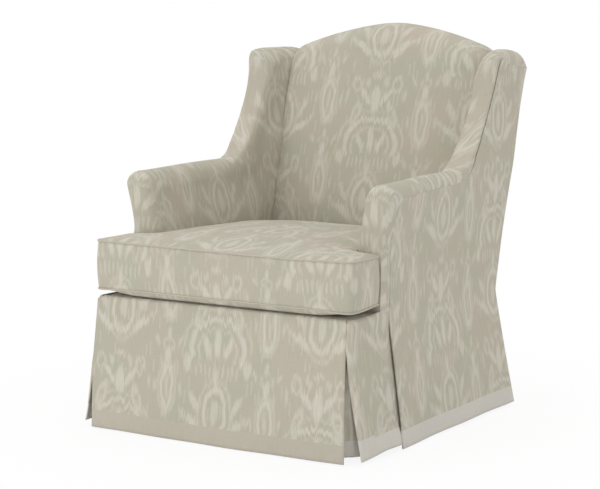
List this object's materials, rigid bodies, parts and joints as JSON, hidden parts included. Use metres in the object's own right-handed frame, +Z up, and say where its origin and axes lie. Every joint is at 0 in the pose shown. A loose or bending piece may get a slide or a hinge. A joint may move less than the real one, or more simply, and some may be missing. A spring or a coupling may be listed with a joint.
{
  "type": "swivel glider chair",
  "caption": "Skirted wing armchair with a loose T-shaped seat cushion; a ring base hidden under the skirt lets it swivel, and hanging links let the seat glide to and fro.",
  "frame": {"origin": "on the floor, on the swivel axis, midway across the chair and within a few millimetres of the middle of its depth", "axes": "+Z up, the chair faces -Y, +X is to the right of someone who looks at its front"},
  "size_m": [0.838, 0.9656, 1.043],
  "materials": {
    "woven_fabric": "woven cotton and linen blend, warm grey with a pale low-contrast warp-printed figure",
    "dust_cloth": "thin black non-woven cloth",
    "hardwood": "unfinished sawn hardwood",
    "black_steel": "satin black powder coat",
    "zinc_steel": "bright zinc plating",
    "glide_plastic": "matt black nylon"
  },
  "bodies": {
    "base": {"floor_glide_1": "glide_plastic", "floor_glide_2": "glide_plastic", "floor_glide_3": "glide_plastic", "floor_glide_4": "glide_plastic", "base_ring": "black_steel", "base_spider": "black_steel", "lower_bearing_race": "zinc_steel", "swivel_bolt": "zinc_steel"},
    "turntable": {"upper_bearing_race": "zinc_steel", "turntable_plate": "black_steel", "left_glide_bracket": "black_steel", "right_glide_bracket": "black_steel"},
    "front_links": {"front_left_link": "black_steel", "front_right_link": "black_steel", "front_upper_rod": "zinc_steel", "front_lower_rod": "zinc_steel"},
    "rear_links": {"rear_left_link": "black_steel", "rear_right_link": "black_steel", "rear_upper_rod": "zinc_steel", "rear_lower_rod": "zinc_steel"},
    "seat": {"left_hanger_plate": "black_steel", "right_hanger_plate": "black_steel", "front_crossbar": "black_steel", "rear_crossbar": "black_steel", "front_seat_rail": "hardwood", "rear_seat_rail": "hardwood", "left_seat_rail": "hardwood", "right_seat_rail": "hardwood", "left_arm_post": "hardwood", "right_arm_post": "hardwood", "left_arm_rail": "hardwood", "right_arm_rail": "hardwood", "left_back_post": "hardwood", "right_back_post": "hardwood", "back_top_rail": "hardwood", "back_tuck_rail": "hardwood", "left_wing_board": "hardwood", "right_wing_board": "hardwood", "seat_spring_1": "zinc_steel", "seat_spring_2": "zinc_steel", "seat_spring_3": "zinc_steel", "seat_spring_4": "zinc_steel", "back_spring_1": "zinc_steel", "back_spring_2": "zinc_steel", "seat_deck": "woven_fabric", "dust_cover": "dust_cloth", "back_pad": "woven_fabric", "left_arm_pad": "woven_fabric", "right_arm_pad": "woven_fabric", "left_wing_pad": "woven_fabric", "right_wing_pad": "woven_fabric", "left_side_panel": "woven_fabric", "right_side_panel": "woven_fabric", "outside_back_panel": "woven_fabric", "front_skirt_panel": "woven_fabric", "left_short_skirt_panel": "woven_fabric", "right_short_skirt_panel": "woven_fabric", "left_corner_backing": "woven_fabric", "right_corner_backing": "woven_fabric"},
    "cushion": {"seat_cushion": "woven_fabric"}
  },
  "joints": [
    {"name": "swivel", "type": "hinge", "parent": "base", "child": "turntable", "pos_m": [0, 0, 0], "axis": [0, 0, 1], "continuous": true},
    {"name": "glide", "type": "hinge", "parent": "turntable", "child": "front_links", "pos_m": [0, -0.15, 0.185], "axis": [1, 0, 0], "range_deg": [-25, 25]},
    {"name": "seat_level", "type": "hinge", "parent": "front_links", "child": "seat", "pos_m": [0, -0.15, 0.075], "axis": [1, 0, 0], "range_deg": [-25, 25]},
    {"name": "rear_link_swing", "type": "hinge", "parent": "turntable", "child": "rear_links", "pos_m": [0, 0.15, 0.185], "axis": [1, 0, 0], "range_deg": [-25, 25]},
    {"name": "cushion_lift", "type": "slide", "parent": "seat", "child": "cushion", "axis": [0, 0, 1], "range_m": [0, 0.2]}
  ],
  "couplings": [
    {"joint": "seat_level", "follows": "glide", "ratio": -1},
    {"joint": "rear_link_swing", "follows": "glide", "ratio": 1}
  ]
}
